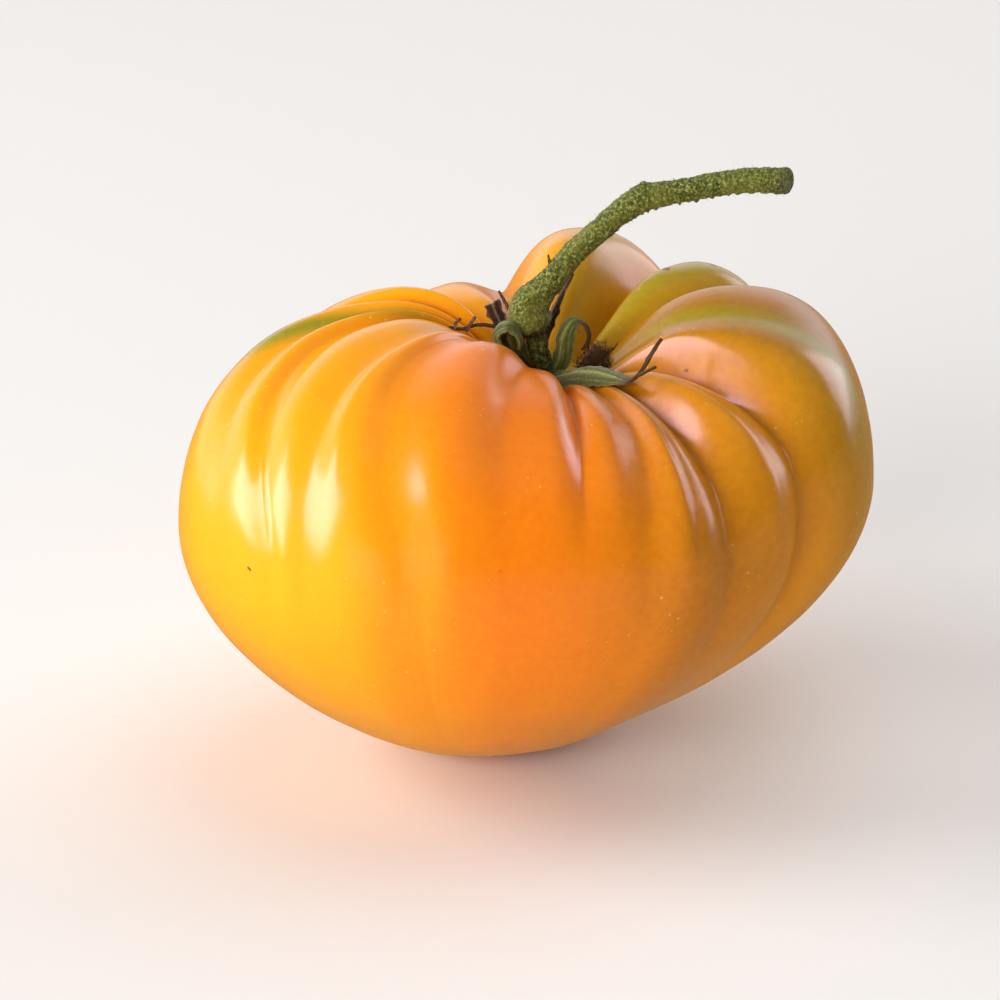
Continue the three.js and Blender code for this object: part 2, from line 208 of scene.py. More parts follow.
# Sepals: points along the middle (x, y, z, half width, cup), the direction
# in which each is wide, how wavy its edge is, the share of its length at which
# it turns dry and its share of the full thickness. A cup above 0 lifts the edges.
GREEN_SEPALS = {
    "rolled": dict(wide=(0.15, 1, 0), waves=0.04, dry_from=1.2, thick=1.0, line=[
        (1.2, 6.2, 66.9, 1.0, 0.0), (-1.6, 5.0, 69.8, 1.6, -0.2), (-4.4, 4.4, 72.6, 1.9, -0.5),
        (-5.5, 4.2, 75.2, 1.9, -0.6), (-4.6, 4.1, 77.0, 1.9, -0.6), (-2.8, 4.0, 77.5, 1.8, -0.6),
        (-1.2, 3.9, 76.2, 1.5, -0.5), (-0.7, 3.8, 74.2, 1.0, -0.3), (-1.3, 3.8, 72.6, 0.5, 0.0),
    ]),
    "rolled_back": dict(wide=(1, -0.2, 0.15), waves=0.04, dry_from=1.2, thick=0.9, line=[
        (1.0, 6.8, 66.9, 1.0, 0.2), (-1.4, 6.2, 70.2, 2.0, 0.4), (-2.7, 5.7, 73.4, 2.4, 0.5),
        (-3.0, 5.4, 76.0, 2.0, 0.5), (-2.9, 5.2, 77.2, 1.0, 0.3),
    ]),
    "curled": dict(wide=(0.7, -0.6, -0.3), waves=0.04, dry_from=0.62, thick=0.8, line=[
        (5.1, 6.5, 66.7, 1.2, 0.2), (6.3, 6.7, 70.0, 1.8, 0.5), (6.9, 7.1, 73.8, 1.8, 0.6),
        (8.5, 7.4, 76.5, 1.2, 0.5), (10.4, 7.6, 76.3, 0.6, 0.3), (11.4, 7.8, 74.4, 0.36, 0.2),
        (11.3, 8.0, 72.4, 0.30, 0.1), (10.2, 8.0, 70.9, 0.24, 0.0),
    ]),
    "flat": dict(wide=(0.56, 0.6, 0.57), waves=0.03, dry_from=0.66, thick=0.9, line=[
        (4.2, 5.2, 66.7, 1.2, 0.3), (6.3, 1.5, 68.2, 1.9, -0.4), (9.2, -2.0, 70.3, 2.2, -0.6),
        (11.8, -5.5, 71.6, 2.1, -0.6), (14.5, -9.0, 72.3, 1.6, -0.6), (16.6, -12.0, 72.7, 1.0, -0.3),
        (18.1, -14.0, 73.2, 0.5, 0.0), (19.5, -14.5, 74.3, 0.40, 0.0), (20.8, -14.0, 75.9, 0.34, 0.0),
        (21.9, -13.0, 77.6, 0.34, 0.0), (23.0, -12.5, 79.3, 0.42, 0.0), (23.8, -12.0, 80.3, 0.40, 0.0),
    ]),
    "fork": dict(wide=(0, 1, 0), waves=0.0, dry_from=0.1, thick=0.6, line=[
        (18.4, -14.2, 73.5, 0.36, 0.0), (20.6, -15.0, 75.0, 0.30, 0.0), (22.8, -15.0, 76.2, 0.26, 0.0),
    ]),
}
DRIED_SEPALS = {
    "behind": dict(wide=(0.6, -0.8, 0), waves=0.10, dry_from=0.4, thick=0.7, line=[
        (3.6, 10.9, 66.9, 0.6, 0.2), (3.4, 11.6, 70.4, 0.6, 0.5), (3.9, 12.2, 73.6, 0.9, 0.8),
        (5.1, 12.7, 76.8, 0.9, 0.8), (6.5, 12.9, 79.6, 0.55, 0.5), (7.8, 13.0, 82.0, 0.30, 0.2),
        (8.6, 13.0, 83.6, 0.24, 0.0),
    ]),
    "stub": dict(wide=(1, 0.2, 0.3), waves=0.15, dry_from=1.2, thick=0.9, line=[
        (1.2, 10.8, 66.9, 0.9, 0.2), (-2.0, 12.6, 70.4, 1.0, 0.4), (-4.4, 13.6, 74.0, 1.2, 0.5),
        (-6.0, 13.6, 77.8, 1.4, 0.4),
    ]),
    "tendril": dict(wide=(0, 0.5, 1), waves=0.10, dry_from=1.2, thick=0.6, line=[
        (0.8, 8.6, 66.9, 0.5, 0.0), (-2.2, 9.4, 71.0, 0.4, 0.0), (-5.0, 8.6, 74.8, 0.34, 0.0),
        (-8.4, 6.6, 76.2, 0.30, 0.0), (-11.6, 4.8, 76.0, 0.28, 0.0), (-13.6, 3.4, 77.0, 0.24, 0.0),
    ]),
    "tendril_fork_near": dict(wide=(0, 0.5, 1), waves=0.0, dry_from=1.2, thick=0.55, line=[
        (-10.6, 5.2, 75.4, 0.24, 0.0), (-9.8, 5.0, 76.9, 0.26, 0.0), (-8.9, 4.6, 78.5, 0.18, 0.0),
    ]),
    "tendril_fork_far": dict(wide=(0, 0.5, 1), waves=0.0, dry_from=1.2, thick=0.55, line=[
        (-12.6, 4.0, 76.3, 0.24, 0.0), (-12.4, 3.8, 77.5, 0.24, 0.0), (-11.6, 3.6, 78.5, 0.18, 0.0),
    ]),
    "scale_on_stem": dict(wide=(1, 0, 0), waves=0.0, dry_from=1.2, thick=0.6, line=[
        (4.9, 8.0, 86.0, 0.35, 0.0), (4.4, 8.0, 87.4, 0.30, 0.0), (4.1, 8.0, 89.0, 0.12, 0.0),
    ]),
    "tip_behind_knob": dict(wide=(1, 0, 0.3), waves=0.0, dry_from=1.2, thick=0.5, line=[
        (-2.2, 12.4, 76.0, 0.35, 0.0), (-3.6, 12.6, 78.4, 0.3, 0.0), (-4.7, 12.4, 80.6, 0.18, 0.0),
    ]),
}

# Soft lights: name, place (m), width, height (m), power (W), seen in the gloss
LIGHTS = [
    ("window_left", (-1.81, 0.10, 0.90), 1.15, 1.40, 33.0, True),
    ("fill_front", (-0.90, -1.38, 0.52), 1.40, 0.90, 30.0, False),
    ("fill_above", (0.40, 0.50, 1.90), 1.80, 1.80, 15.0, False),
    ("wall_right", (1.50, 1.10, 0.80), 1.60, 1.20, 13.0, True),
]
LIGHTS_AIM = (0, 0, 0.05)
LIGHT_COLOUR = "#fffcf8"
LOOK_AT = (-4.5, 0.0, 45.0)     # what the camera looks at (mm)


def linear(hex_code):
    """Linear RGBA of an sRGB hex colour."""
    channels = [int(hex_code[k:k + 2], 16) / 255 for k in (1, 3, 5)]
    return [
        *(c / 12.92 if c <= 0.04045 else ((c + 0.055) / 1.055) ** 2.4 for c in channels), 1.0,
    ]


def colour_property(name, description, hex_code):
    """Colour setting whose default is an sRGB hex colour."""
    return FloatVectorProperty(
        name=name, description=description, subtype="COLOR", size=4,
        min=0.0, max=1.0, default=linear(hex_code),
    )


def length_property(name, description, millimetres):
    """Length setting whose default is given in millimetres."""
    return FloatProperty(
        name=name, description=description, default=millimetres * MM,
        min=0.0, precision=5, unit="LENGTH",
    )


def number_property(name, description, default):
    """Plain number setting."""
    return FloatProperty(name=name, description=description, default=default)


def count_property(name, description, default, least, most):
    """Whole-number setting."""
    return IntProperty(name=name, description=description, default=default, min=least, max=most)


class FruitSettings(bpy.types.PropertyGroup):
    columns: count_property("Columns", "Columns of faces round the fruit", 408, 60, 420)
    rows: count_property("Rows", "Rows of faces from the stem to the foot", 236, 40, 236)
    unevenness: length_property("Unevenness", "Height of the soft dents in the skin", 0.45)
    dent_size: length_property("Dent size", "Width of one soft dent", 15.0)
    glow_depth: length_property("Glow depth", "How far light travels under the skin", 2.6)
    gold: colour_property("Gold", "Ripe skin on the left side", "#fba60a")
    orange: colour_property("Orange", "Ripe skin at the front", "#f67c04")
    flush: colour_property("Flush", "Reddest part of the front shoulder", "#ef720c")
    ochre: colour_property("Ochre", "Skin on the right and back lobes", "#da9612")
    # Partly the duller skin of the right lobes, partly painted shade there and on the front-right
    olive: colour_property("Olive", "Duller skin on the right lobes", "#a86f0c")
    green: colour_property("Green", "Unripe shoulders and bands", "#8f8e1c")
    # Corky scars, also laid round the stem as painted shade in the hollow
    cork: colour_property("Cork", "Corky scars", "#3c2812")
    fibres: count_property("Fibres", "Dry fibres on the corky patch", 520, 0, 2000)


class StemSettings(bpy.types.PropertyGroup):
    sides: count_property("Sides", "Faces round the stem", 72, 12, 96)
    steps: count_property("Steps", "Rows of faces along the stem", 330, 40, 600)
    lump_height: length_property("Lump height", "Height of the lumps on the stem", 0.55)
    grain_height: length_property("Grain height", "Height of the fine granules", 0.30)
    hairs: count_property("Hairs", "Short hairs on the stem", 1100, 0, 5000)
    hair_length: length_property("Hair length", "Length of a stem hair", 0.55)
    green: colour_property("Green", "Fresh stem", "#596325")
    dark: colour_property("Dark green", "Shaded furrows of the stem", "#2c3413")
    pith: colour_property("Pith", "Cut end", "#a6ac74")


class CalyxSettings(bpy.types.PropertyGroup):
    thickness: length_property("Thickness", "Thickness of a sepal", 0.6)
    green: colour_property("Green", "Fresh sepals", "#566029")
    vein: colour_property("Vein", "Veins and edges of the sepals", "#a3a060")
    brown: colour_property("Brown", "Withered sepals", "#46281a")
    bleached: colour_property("Bleached", "Faded edges of the withered sepals", "#a58a72")


class StageSettings(bpy.types.PropertyGroup):
    distance: FloatProperty(
        name="Distance", description="Camera to the middle of the fruit",
        default=0.8, unit="LENGTH",
    )
    elevation: FloatProperty(
        name="Elevation", description="Camera above the horizontal",
        default=math.radians(22), subtype="ANGLE",
    )
    lens: number_property("Lens", "Focal length in millimetres", 159.5)
    light_strength: number_property("Lights", "Share of the lights' full power", 1.0)
    room_strength: number_property("Room", "Brightness of the room in front", 0.08)
    wall_strength: number_property("Wall", "Brightness of the white wall behind", 0.92)
    ceiling_strength: number_property("Ceiling", "Brightness of the ceiling", 0.12)
    table_strength: number_property("Table", "Brightness of the mirrored table", 0.62)
    table: colour_property("Table colour", "Warm table top, seen in the gloss only", "#dca878")
    surround: colour_property("Surround colour", "White room round the table", "#f4f5f8")
    floor: colour_property("Floor colour", "Plain pale floor", "#e9e8e8")


def add_node(tree, kind, inputs=None, stops=None, **settings):
    """Adds a shader node with its settings; inputs holds a constant or a socket for each input."""
    made = tree.nodes.new("ShaderNode" + kind)
    for name, value in settings.items():
        setattr(made, name, value)
    if stops:
        ramp_stops = made.color_ramp.elements
        while len(ramp_stops) < len(stops):
            ramp_stops.new(1.0)
        for stop, (position, value) in zip(ramp_stops, stops):
            stop.position = position
            stop.color = value
    for name, value in (inputs or {}).items():
        if isinstance(value, bpy.types.NodeSocket):
            tree.links.new(value, made.inputs[name])
        else:
            made.inputs[name].default_value = value
    return made


def new_material(name):
    """Empty node material with its output node."""
    material = bpy.data.materials.new(name)
    material.use_nodes = True
    material.node_tree.nodes.clear()
    return material, add_node(material.node_tree, "OutputMaterial")


def lay_colours(tree, colour, layers):
    """Lays colours one over another, each where its mask is; layers holds (mask, colour).

    A mix node numbers its inputs 0 (share), 6 and 7 (colours), its colour output 2.
    """
    for mask, over in layers:
        inputs = {0: mask, 6: colour, 7: over}
        colour = add_node(tree, "Mix", inputs, data_type="RGBA").outputs[2]
    return colour


def deselect_all():
    """Nothing stays selected, the frame's nodes included."""
    if bpy.context.object and bpy.context.object.mode != "OBJECT":
        bpy.ops.object.mode_set(mode="OBJECT")
    bpy.ops.object.select_all(action="DESELECT")


def named(name):
    """The object just added, under its own name."""
    piece = bpy.context.object
    piece.name = name
    piece.data.name = name
    return piece


def points_of(mesh):
    """Places of a mesh's points."""
    places = np.empty(len(mesh.vertices) * 3)
    mesh.vertices.foreach_get("co", places)
    return places.reshape(-1, 3)


def move_points(mesh, places):
    """Gives a mesh's points their places."""
    mesh.vertices.foreach_set("co", np.asarray(places, dtype=np.float32).ravel())
    mesh.update()


def store(mesh, name, values):
    """Keeps one number or vector for each point, for the material to read."""
    vector = values.ndim > 1
    layer = mesh.attributes.new(name, "FLOAT_VECTOR" if vector else "FLOAT", "POINT")
    flat = np.ascontiguousarray(values, np.float32).ravel()
    layer.data.foreach_set("vector" if vector else "value", flat)


def roughen(piece, name, size, height, group=""):
    """Raises and lowers the surface along its normals by a cloud pattern, and applies it."""
    pattern = bpy.data.textures.new(name, "CLOUDS")
    pattern.noise_scale = size
    pattern.noise_depth = 1
    raised = piece.modifiers.new(name, "DISPLACE")
    raised.texture = pattern
    raised.strength = height
    raised.mid_level = 0.5
    raised.vertex_group = group
    apply_modifiers(piece)


def apply_modifiers(piece):
    """Applies every modifier of a piece in order."""
    deselect_all()
    piece.select_set(True)
    bpy.context.view_layer.objects.active = piece
    for modifier in list(piece.modifiers):
        bpy.ops.object.modifier_apply(modifier=modifier.name)


def finish_piece(piece, node, angle=None):
    """Shades a piece, hangs it on the body it rides on and hides the frame's solid that it stands for.
    """
    deselect_all()
    piece.select_set(True)
    bpy.context.view_layer.objects.active = piece
    if angle is None:
        bpy.ops.object.shade_smooth()
    else:
        bpy.ops.object.shade_smooth_by_angle(angle=angle)
    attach(piece, "root")
    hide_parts(node)
    deselect_all()


def lerp(a, b, t):
    """Value at share t between a and b."""
    return a + (b - a) * t


def ramp(x, start, stop):
    """Smooth 0..1 ramp between two values."""
    t = np.clip((x - start) / (stop - start), 0, 1)
    return t * t * (3 - 2 * t)


def bezier(a, b, c, d, t):
    """Cubic Bezier value."""
    u = 1 - t
    return u ** 3 * a + 3 * u * u * t * b + 3 * u * t * t * c + t ** 3 * d


def bell(x, width):
    """1 at 0, falling smoothly away over a width."""
    return np.exp(-(x / width) ** 2)


def crease_angle(j, level):
    """Direction of crease j, counted on past a full turn."""
    return CREASES[j % len(CREASES), level] + 360 * (j // len(CREASES))


def lobe_direction(place, level):
    """Direction of a place given as lobe number and share across the lobe."""
    j = np.floor(place).astype(int)
    return lerp(crease_angle(j, level), crease_angle(j + 1, level), place - j)


def turn_from(middle, angle):
    """Signed turn from one direction to another, -180 to 180 degrees."""
    return (angle - middle + 540) % 360 - 180


def blend_lobes(angle, level, value):
    """Value of the lobes round a direction, each weighted by how near it is."""
    lobe = np.arange(len(LOBES))
    start = crease_angle(lobe, level)
    stop = crease_angle(lobe + 1, level)
    away = turn_from((start + stop) / 2, angle[:, None])
    weight = bell(away, LOBE_BLEND * (stop - start)) + 1e-9
    return weight @ LOBES[:, value] / weight.sum(axis=1)


def column_places(count):
    """Place of each column as lobe number and share, closer beside the creases."""
    lobe = np.arange(len(LOBES))
    start = np.rint((crease_angle(lobe, 1) - CREASES[0, 1]) / 360 * count).astype(int)
    counts = np.diff(np.append(start, count))
    share = np.concatenate([np.arange(n) / n for n in counts])
    gathered = (1 - np.cos(np.pi * share)) / 2
    return np.repeat(lobe, counts) + lerp(share, gathered, CREASE_GATHER)


def crease_share(distance, sharpness, blunting):
    """How much of its depth a crease keeps at this distance (0..1) across a lobe."""
    kept = 1 - np.minimum(np.hypot(distance, blunting), 1)
    return kept ** sharpness / (1 - blunting) ** sharpness


def meridian(place, s):
    """Smooth meridian of every column: distance from the axis and height at places s."""
    top = lobe_direction(place, 0)
    side = lobe_direction(place, 1)
    lean = np.cos(np.radians(side))
    crest = blend_lobes(top, 0, 0)
    crest_out = blend_lobes(top, 0, 1)
    reach = blend_lobes(side, 1, 2)
    full = blend_lobes(top, 0, 3)
    widest = WIDEST_HEIGHT + WIDEST_TILT * lean
    base = BASE_FULLNESS - BASE_FULLNESS_TILT * lean
    s = s[:, None]
    t = s / AT_CREST
    out = bezier(0, crest_out * 0.38, crest_out * 0.45, crest_out, t)
    up = bezier(CAVITY_FLOOR, CAVITY_FLOOR, crest, crest, t)
    t = (s - AT_CREST) / (AT_WIDEST - AT_CREST)
    out = np.where(t < 0, out, bezier(crest_out, lerp(crest_out, reach, full), reach, reach, t))
    up = np.where(t < 0, up, bezier(crest, crest, lerp(widest, crest, full), widest, t))
    t = (s - AT_WIDEST) / (AT_FOOT - AT_WIDEST)
    out = np.where(t < 0, out, bezier(reach, reach, lerp(FOOT_RADIUS, reach, base), FOOT_RADIUS, t))
    up = np.where(t < 0, up, bezier(widest, widest * (1 - FLANK_FULLNESS), 0, 0, t))
    t = (s - AT_FOOT) / (1 - AT_FOOT)
    out = np.where(t < 0, out, FOOT_RADIUS * (1 - t))
    up = np.where(t < 0, up, 0)
    return out, up


def crease_depth(place, s):
    """Depth of the creases below the smooth meridian at each row and column."""
    j = np.floor(place).astype(int)
    u = place - j
    s = s[:, None]
    down = ramp(s, 0.25, 0.50)
    depth = 0
    for crease, distance in ((j, 2 * u), ((j + 1) % len(CREASES), 2 * (1 - u))):
        _, _, shoulder, widest, sharpness, blunting, end = CREASES[crease].T
        reached = ramp(s, 0.03, 0.16) * shoulder * (1 - down) + widest * down
        fading = 1 - ramp(s, end - CREASE_FADE, end)
        depth = depth + reached * fading * crease_share(distance, sharpness, blunting)
    return depth


def band(place, s, start, stop, s_start, s_stop, left, right):
    """Soft band along the lobes from (start, s_start) to (stop, s_stop), 0..1."""
    s = s[:, None]
    along = np.clip((s - s_start) / (s_stop - s_start), 0, 1)
    middle = lerp(lobe_direction(start, 1), lobe_direction(stop, 1), along)
    away = turn_from(middle, lobe_direction(place, 1))
    fade = (s_stop - s_start) * 0.3
    ends = ramp(s, s_start - fade, s_start + fade) * (1 - ramp(s, s_stop - fade, s_stop + fade))
    return bell(away, np.where(away < 0, left, right)) * ends


def skin_points(place, s):
    """Points of the skin, row by row and column by column, in millimetres."""
    step = 1e-3
    out, up = meridian(place, s)
    out_before, up_before = meridian(place, np.maximum(s - step, 0))
    out_after, up_after = meridian(place, np.minimum(s + step, 1))
    run = out_after - out_before
    rise = up_after - up_before
    length = np.hypot(run, rise) + 1e-9
    depth = crease_depth(place, s)
    for start, stop, s_start, s_stop, height, left, right in FINE_RIBS:
        depth = depth - height * band(place, s, start, stop, s_start, s_stop, left, right)
    out = out + depth * rise / length
    up = np.maximum(up - depth * run / length, 0)
    shoulder = ramp(s, 0.15, AT_WIDEST)[:, None]
    foot = ramp(s, AT_WIDEST, AT_FOOT)[:, None]
    angle = np.radians(lerp(lobe_direction(place, 0), lobe_direction(place, 1), shoulder))
    x = STEM_AXIS[0] * (1 - shoulder) + FOOT_CENTRE[0] * foot + out * np.cos(angle)
    y = STEM_AXIS[1] * (1 - shoulder) + FOOT_CENTRE[1] * foot + out * np.sin(angle)
    return np.stack([x, y, up], axis=-1)


def from_cork_patch(points):
    """Distance of points from the corky patch, along its own three axes."""
    return np.linalg.norm((points - np.array(CORK_PATCH)) / CORK_PATCH_STRETCH, axis=-1)


def skin_masks(place, s, points):
    """Where the skin is orange, flushed, ochre, olive, green, creased or corky, each 0..1; the olive
    mask also carries painted shade, the crease depth is laid as painted shade, and the cork and green
    rings round the stem are partly painted shade in the hollow.
    """
    side = lobe_direction(place, 1)
    front = turn_from(ORANGE_SIDE, side)
    down = s[:, None]
    spread = ramp(front, -62, -18) * (1 - 0.85 * ramp(front, 8, 38)) * (1 - ramp(front, 80, 130))
    spread = spread * (1 - 0.50 * ramp(down, 0.58, 0.84))
    # Olive: partly the duller skin of the right lobes, partly painted shade that darkens their upper
    # part
    olive = bell(turn_from(OLIVE_SIDE, side), 42) * (1 - 0.65 * ramp(down, 0.42, 0.66))
    # Painted shade on the front-right, where the valley beside the front ribs lies in shadow; it is
    # laid with the olive colour
    shade = 0.85 * bell(turn_from(SHADED_SIDE, side), 25) * (1 - 0.4 * ramp(down, 0.50, 0.75))
    olive = np.maximum(olive, shade)
    flush = 0.4 * bell(turn_from(FLUSHED_SIDE, side), 20) * bell(down - AT_CREST, 0.07)
    ochre = bell(turn_from(OCHRE_SIDE, side), 54) * (1 - 0.4 * ramp(down, 0.6, 0.9))
    green = 0
    for start, stop, s_start, s_stop, width, strength in GREEN_BANDS:
        stripe = band(place, s, start, stop, s_start, s_stop, width, width)
        green = np.maximum(green, strength * stripe)
    reach = np.linalg.norm(points[..., :2] - RING_CENTRE, axis=-1)
    above = points[..., 2] > WIDEST_HEIGHT
    # Ring round the stem: partly corky skin, partly painted shade darkening the hollow; the green ring
    # round the hollow is likewise partly green shoulder, partly painted shade
    cork = 0.7 * bell(reach - 4.5, 2.6) * above
    green = np.maximum(green, 0.6 * bell(reach - 5.0, 5.0) * above)
    cork = np.maximum(cork, 0.9 * bell(from_cork_patch(points), CORK_PATCH_REACH))
    below = points[..., 2] < CAVITY_FLOOR / 2
    blossom_end = np.linalg.norm(points[..., :2] - FOOT_CENTRE, axis=-1)
    cork = np.maximum(cork, bell(blossom_end, 4.0) * below)
    for scar_place, scar_s, radius, strength in SKIN_SCARS:
        middle = skin_points(np.array([scar_place]), np.array([scar_s]))[0, 0]
        away = np.linalg.norm(points - middle, axis=-1)
        cork = np.maximum(cork, strength * bell(away, radius))
    return {
        "spread": spread,
        "flush": flush,
        "ochre": ochre,
        "olive": olive,
        "green": green,
        "crease": np.clip(crease_depth(place, s) / 5, 0, 1),
        "cork": cork,
    }


def shape_fruit(piece, columns, rows):
    """Moves the sphere's points to their columns and rows on the skin."""
    mesh = piece.data
    sphere = points_of(mesh)
    radius = np.linalg.norm(sphere, axis=1)
    turn = np.arctan2(sphere[:, 1], sphere[:, 0])
    tilt = np.arccos(np.clip(sphere[:, 2] / radius, -1, 1))
    column = np.rint(turn / (2 * np.pi) * columns).astype(int) % columns
    row = np.rint(tilt / np.pi * rows).astype(int)
    place = column_places(columns)
    s = np.interp(np.arange(rows + 1) / rows, ROW_SHARES, (0, AT_CREST, AT_WIDEST, AT_FOOT, 1))
    points = skin_points(place, s)
    move_points(mesh, points[row, column] * MM)
    for name, values in skin_masks(place, s, points).items():
        store(mesh, name, np.broadcast_to(values, points.shape[:2])[row, column])
    angle = np.radians(lobe_direction(place, 0))
    along = np.stack(np.broadcast_arrays(np.cos(angle), np.sin(angle), s[:, None]), axis=-1)
    store(mesh, "along_lobes", along[row, column])
    group = piece.vertex_groups.new(name="above_foot")
    weight = np.rint(ramp(points[row, column, 2], 0.5, 12.0) * WEIGHT_STEPS).astype(int)
    for step in range(WEIGHT_STEPS + 1):
        group.add(np.flatnonzero(weight == step).tolist(), step / WEIGHT_STEPS, "REPLACE")


def tomato_skin(settings):
    """Ripe tomato skin, a thin smooth cuticle with its own wax: soft-edged gloss over glowing flesh."""
    material, output = new_material("ripe_tomato_skin_waxy")
    tree = material.node_tree
    place = add_node(tree, "TexCoord").outputs["Object"]
    lobes = add_node(tree, "Attribute", attribute_name="along_lobes").outputs["Vector"]
    masks = {
        name: add_node(tree, "Attribute", attribute_name=name).outputs["Fac"]
        for name in ("spread", "flush", "ochre", "olive", "green", "crease", "cork")
    }
    # Streaks that run down the lobes: many across, few along
    streak_space = add_node(tree, "Mapping", {"Vector": lobes, "Scale": (9.0, 9.0, 1.6)})
    streaks = add_node(
        tree, "TexNoise", {"Vector": streak_space.outputs[0], "Scale": 1.6, "Detail": 4.0},
    ).outputs["Fac"]
    # Clouded colour of about 12 mm, mottling of 1.5 mm, cracks of the cork of 0.4 mm,
    # and the orange-peel waviness of the cuticle, 0.8 mm
    clouds, mottle, crackle, peel = (
        add_node(tree, "TexNoise", {
            "Vector": place, "Scale": scale, "Detail": detail, "Roughness": rough,
        }).outputs["Fac"]
        for scale, detail, rough in (
            (85.0, 3.0, 0.5), (700.0, 3.0, 0.5), (1500.0, 5.0, 0.7), (1250.0, 2.0, 0.5),
        )
    )

    def uneven(mask, pattern, reach):
        """Mask whose soft edge follows a pattern."""
        rest = add_node(
            tree, "Math", {0: 1.0, 1: mask}, operation="SUBTRACT",
        ).outputs[0]
        edge = add_node(
            tree, "Math", {0: mask, 1: rest}, operation="MULTIPLY",
        ).outputs[0]
        shifted = add_node(
            tree, "Math", {0: pattern, 1: 4 * reach, 2: -2 * reach},
            operation="MULTIPLY_ADD",
        ).outputs[0]
        return add_node(
            tree, "Math", {0: edge, 1: shifted, 2: mask},
            operation="MULTIPLY_ADD", use_clamp=True,
        ).outputs[0]

    # Painted shade: a darker, redder orange laid into the creases, in step with their depth
    painted_crease_shade = add_node(
        tree, "Math", {0: masks["crease"], 1: 0.30}, operation="MULTIPLY",
    ).outputs[0]
    lift = add_node(
        tree, "MapRange",
        {"Value": mottle, "From Min": 0.3, "From Max": 0.7, "To Min": 0.0, "To Max": 0.13},
    ).outputs[0]
    # Pale pores, one every 2.5 mm or so, about 0.3 mm across
    pores = add_node(tree, "TexVoronoi", {"Vector": place, "Scale": 400.0}).outputs["Distance"]
    dots = add_node(
        tree, "MapRange",
        {"Value": pores, "From Min": 0.05, "From Max": 0.12, "To Min": 0.42, "To Max": 0.0},
    ).outputs[0]
    patchy = add_node(
        tree, "MapRange", {"Value": clouds, "From Min": 0.48, "From Max": 0.62},
    ).outputs[0]
    dots_here = add_node(
        tree, "Math", {0: dots, 1: patchy}, operation="MULTIPLY",
    ).outputs[0]
    # Cork: brown, broken into fine cracks; round the stem the same brown is also painted shade in the
    # hollow
    cracked = add_node(
        tree, "Math", {0: masks["cork"], 1: crackle}, operation="ADD",
    ).outputs[0]
    cork_and_shade_here = add_node(
        tree, "MapRange",
        {"Value": cracked, "From Min": 0.85, "From Max": 1.05, "To Min": 0.0, "To Max": 0.92},
    ).outputs[0]
    skin = lay_colours(tree, settings.gold, [
        (uneven(masks["ochre"], clouds, 0.25), settings.ochre),
        (uneven(masks["spread"], streaks, 0.45), settings.orange),
        (uneven(masks["olive"], clouds, 0.25), settings.olive),
        (uneven(masks["flush"], clouds, 0.35), settings.flush),
        (uneven(masks["green"], streaks, 0.45), settings.green),
        (painted_crease_shade, linear("#c2650e")),
        (lift, linear("#ffb60c")),
        (dots_here, linear("#ffe08a")),
        (cork_and_shade_here, settings.cork),
    ])
    roughness = add_node(
        tree, "MapRange", {"Value": cork_and_shade_here, "To Min": 0.26, "To Max": 0.8},
    ).outputs[0]
    # The waviness of the cuticle has hardly any depth
    surface = add_node(
        tree, "Bump", {"Height": peel, "Strength": 0.7, "Distance": 0.00004},
    ).outputs["Normal"]
    surface = add_node(
        tree, "Bump", {"Height": cork_and_shade_here, "Strength": 0.6, "Distance": 0.0002, "Normal": surface},
    ).outputs["Normal"]
    shader = add_node(tree, "BsdfPrincipled", {
        "Base Color": skin,
        "Roughness": roughness,
        "IOR": 1.45,
        "Normal": surface,
        "Subsurface Weight": 0.22,
        "Subsurface Radius": (1.0, 0.42, 0.12),
        "Subsurface Scale": settings.glow_depth,
        "Specular IOR Level": 0.6,
        "Specular Tint": (1.0, 0.5, 0.95, 1.0),
        "Coat Weight": 0.45,
        "Coat Roughness": 0.20,
        "Coat IOR": 1.55,
    })
    tree.links.new(shader.outputs[0], output.inputs["Surface"])
    return material


def stem_skin(settings):
    """Fresh tomato stem, a green rind of granules and short glandular hairs: matt, flecked light."""
    material, output = new_material("fresh_green_stem_granular")
    tree = material.node_tree
    place = add_node(tree, "TexCoord").outputs["Object"]
    cut = add_node(tree, "Attribute", attribute_name="cut").outputs["Fac"]
    collar = add_node(tree, "Attribute", attribute_name="collar").outputs["Fac"]
    # Granules of about 0.5 mm
    grain = add_node(
        tree, "TexNoise", {"Vector": place, "Scale": 1900.0, "Detail": 4.0, "Roughness": 0.65},
    ).outputs["Fac"]
    tone = add_node(
        tree, "ValToRGB", {"Fac": grain},
        stops=[(0.38, settings.dark), (0.52, settings.green), (0.66, linear("#a09e58"))],
    ).outputs["Color"]
    # Broad yellower and darker stretches, about 8 mm
    broad = add_node(tree, "TexNoise", {"Vector": place, "Scale": 120.0, "Detail": 2.0}).outputs["Fac"]
    warmth = add_node(
        tree, "MapRange", {"Value": broad, "From Min": 0.4, "From Max": 0.65, "To Max": 0.45},
    ).outputs[0]
    # White specks, the heads of the hairs, one every millimetre
    heads = add_node(tree, "TexVoronoi", {"Vector": place, "Scale": 1150.0}).outputs["Distance"]
    specks = add_node(
        tree, "MapRange",
        {"Value": heads, "From Min": 0.10, "From Max": 0.18, "To Min": 0.55, "To Max": 0.0},
    ).outputs[0]
    tone = lay_colours(tree, tone, [
        (warmth, linear("#7d7a35")),
        (specks, linear("#c2c392")),
        (collar, linear("#2e2110")),
        (cut, settings.pith),
    ])
    surface = add_node(
        tree, "Bump", {"Height": grain, "Strength": 0.9, "Distance": 0.0003},
    ).outputs["Normal"]
    shader = add_node(tree, "BsdfPrincipled", {
        "Base Color": tone,
        "Roughness": 0.62,
        "IOR": 1.42,
        "Specular IOR Level": 0.3,
        "Normal": surface,
        "Sheen Weight": 0.06,
        "Sheen Roughness": 0.5,
    })
    tree.links.new(shader.outputs[0], output.inputs["Surface"])
    return material


